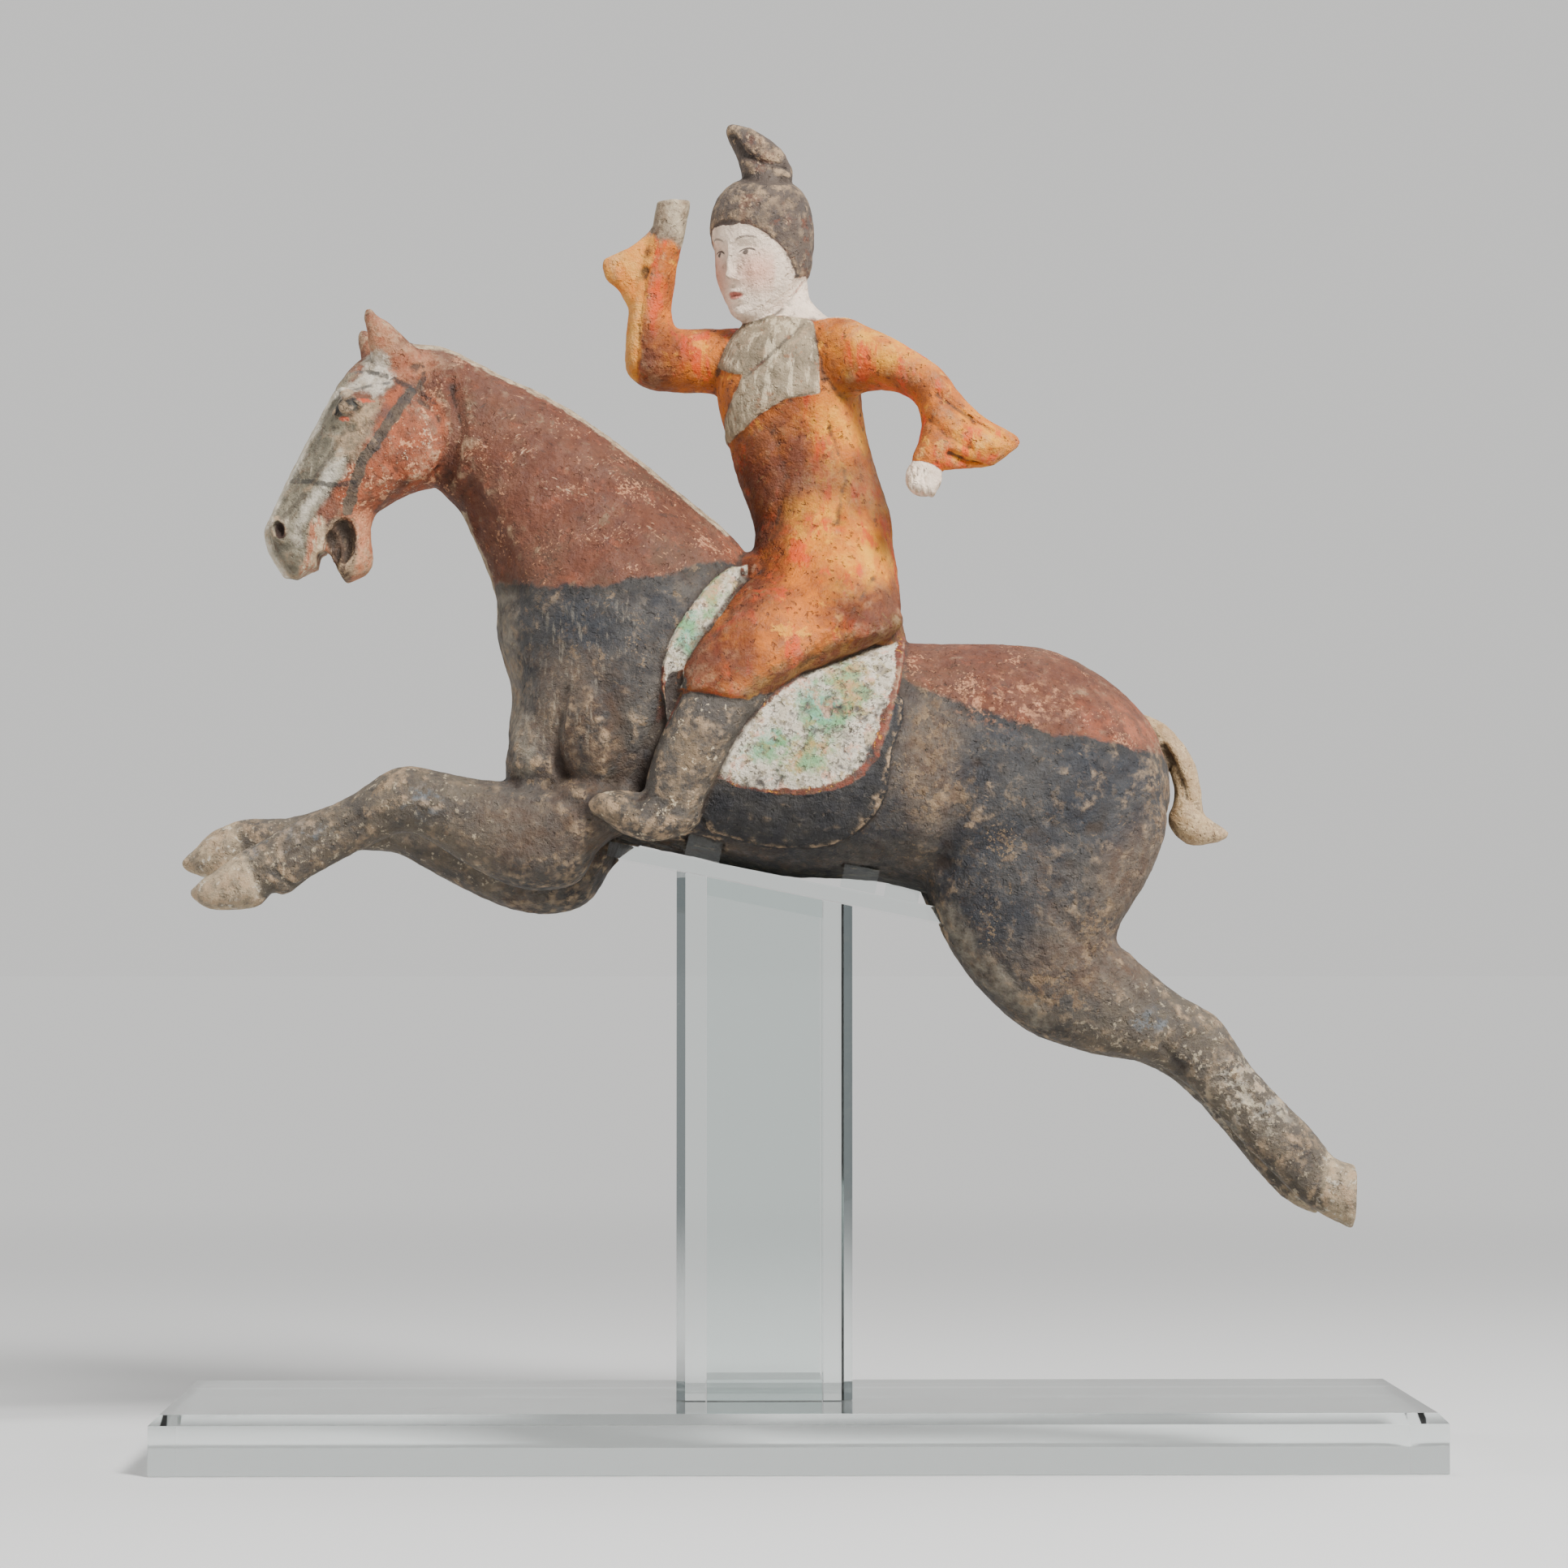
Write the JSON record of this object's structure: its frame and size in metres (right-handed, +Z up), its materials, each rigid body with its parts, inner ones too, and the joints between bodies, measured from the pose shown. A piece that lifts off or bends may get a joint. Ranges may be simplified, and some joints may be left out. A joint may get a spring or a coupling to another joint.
{
  "type": "pottery horse and rider figure",
  "caption": "Painted pottery horse in a flying gallop with its rider, held above a base plate by a clear acrylic column and cradle.",
  "frame": {"origin": "middle of the base plate's underside", "axes": "+X from the horse's head towards its tail, +Y from its left flank towards its right, +Z up"},
  "size_m": [0.43, 0.14, 0.459],
  "materials": {
    "painted_pottery": "matt cold-painted earthenware with soil and worn pigment",
    "clear_acrylic": "clear polished acrylic"
  },
  "bodies": {
    "root": {"horse_and_rider": "painted_pottery", "base_plate": "clear_acrylic", "column_left": "clear_acrylic", "column_right": "clear_acrylic", "column_front": "clear_acrylic", "column_back": "clear_acrylic", "column_foot": "clear_acrylic", "column_head": "clear_acrylic", "cradle_plate": "clear_acrylic", "cleat_front_left": "clear_acrylic", "cleat_rear_left": "clear_acrylic", "cleat_front_right": "clear_acrylic", "cleat_rear_right": "clear_acrylic"}
  },
  "joints": []
}
